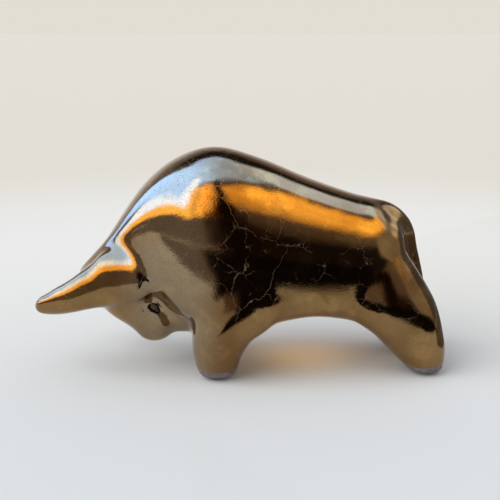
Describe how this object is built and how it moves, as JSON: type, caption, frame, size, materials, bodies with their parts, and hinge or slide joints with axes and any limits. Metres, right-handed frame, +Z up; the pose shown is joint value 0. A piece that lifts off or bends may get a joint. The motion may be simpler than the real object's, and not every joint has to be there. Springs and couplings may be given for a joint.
{
  "type": "bull sculpture",
  "caption": "Stylised glazed ceramic bull with a high humped back, lowered head, forward horns, a tail ridge down the rump and short sturdy legs.",
  "frame": {"origin": "on the floor, under the middle of the whole figure", "axes": "-X the way the bull faces, +X towards the hind legs, +Z up, +Y the bull's right side"},
  "size_m": [0.3184, 0.1204, 0.1749],
  "materials": {
    "bronze_glaze": "glossy metallic bronze glaze with fine crackle, bare and matt around the soles"
  },
  "bodies": {
    "root": {"bull": "bronze_glaze"}
  },
  "joints": []
}
